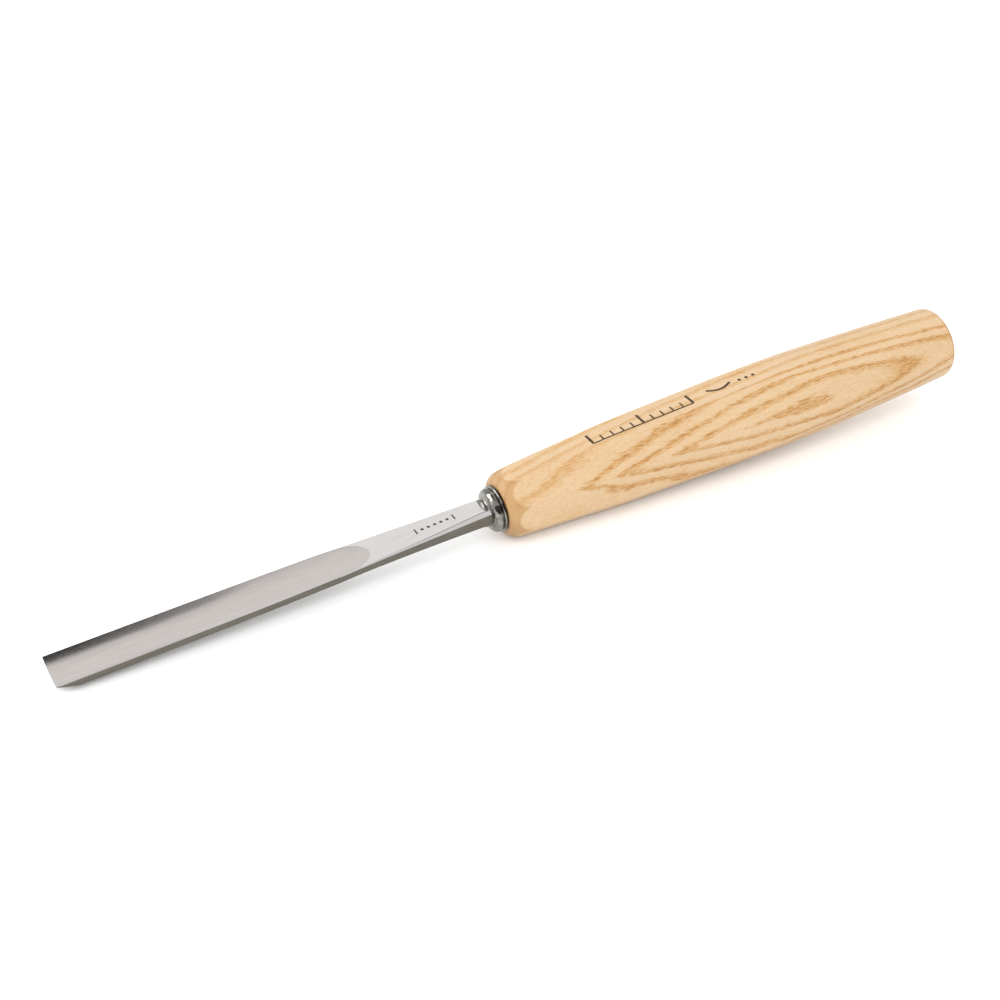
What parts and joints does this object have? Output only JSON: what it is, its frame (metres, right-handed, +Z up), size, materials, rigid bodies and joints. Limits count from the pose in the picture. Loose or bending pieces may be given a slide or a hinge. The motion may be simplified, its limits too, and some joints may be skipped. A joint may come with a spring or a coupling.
{
  "type": "carving gouge",
  "caption": "Straight carving gouge: a long shallow-sweep steel blade with a tapering shank and turned collar, in an octagonal wooden handle that runs out to a round butt.",
  "frame": {"origin": "on the bench surface that the tool lies on, under the middle of the tool's box", "axes": "+X along the tool from the cutting edge towards the butt, +Z up from the bench, +Y to the left when looking towards +X"},
  "size_m": [0.2108, 0.0194, 0.0224],
  "materials": {
    "blade_steel": "ground and lightly polished lengthwise, collar turned bright",
    "ferrule_steel": "plain drawn tube, unpolished",
    "handle_wood": "sanded ash under a thin matt oil",
    "marking_ink": "thin black stamped ink"
  },
  "bodies": {
    "root": {"blade": "blade_steel", "inner_ferrule": "ferrule_steel", "handle": "handle_wood"}
  },
  "joints": []
}
